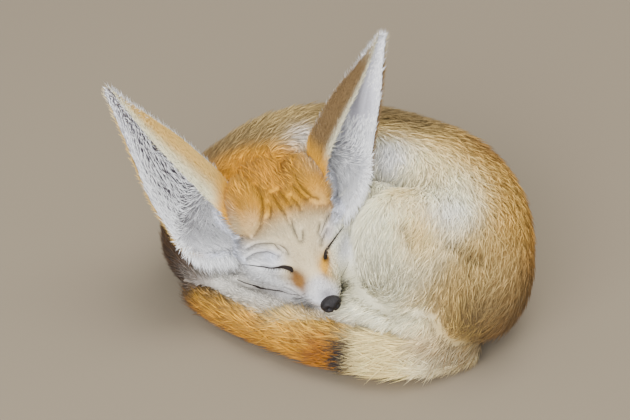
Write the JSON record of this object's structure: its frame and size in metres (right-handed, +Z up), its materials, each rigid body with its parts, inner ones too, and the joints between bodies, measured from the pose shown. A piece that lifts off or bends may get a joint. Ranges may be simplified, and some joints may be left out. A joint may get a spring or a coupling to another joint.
{
  "type": "fennec fox",
  "caption": "Life-size still model of a fennec fox asleep, curled on the floor with its head on its tail and both large ears up.",
  "frame": {"origin": "on the floor, at the middle of the box round the curled fox", "axes": "+Z up from the floor, +X from the ear and tail tip side to the rump side, +Y from the side the nose faces to the back's side"},
  "size_m": [0.2482, 0.1871, 0.165],
  "materials": {
    "coat_orange": "soft short fur, saturated orange on the crown and tail",
    "coat_buff": "soft dense fur, buff with brown-tipped hairs",
    "coat_cream": "soft dense fur, cream-white",
    "coat_white": "very short white fur of the face",
    "coat_rust": "soft fur, shaded rusty brown",
    "ear": "thin ear with ochre down on its back and white fringe hair inside",
    "nose_leather": "black pebbled nose skin, slightly moist"
  },
  "bodies": {
    "root": {"head": "coat_orange", "jaw": "coat_white", "nose": "nose_leather", "eyelids_left": "coat_white", "eyelids_right": "coat_white", "ear_left": "ear", "ear_right": "ear", "neck": "coat_orange", "torso_chest": "coat_buff", "torso_loin": "coat_buff", "torso_rump": "coat_buff", "flank_left": "coat_cream", "thigh_left": "coat_cream", "shank_left": "coat_cream", "foot_hind_left": "coat_cream", "foot_hind_right": "coat_cream", "foreleg_left": "coat_cream", "foreleg_right": "coat_rust", "tail_base": "coat_orange", "tail_mid": "coat_orange", "tail_tip": "coat_orange"}
  },
  "joints": []
}
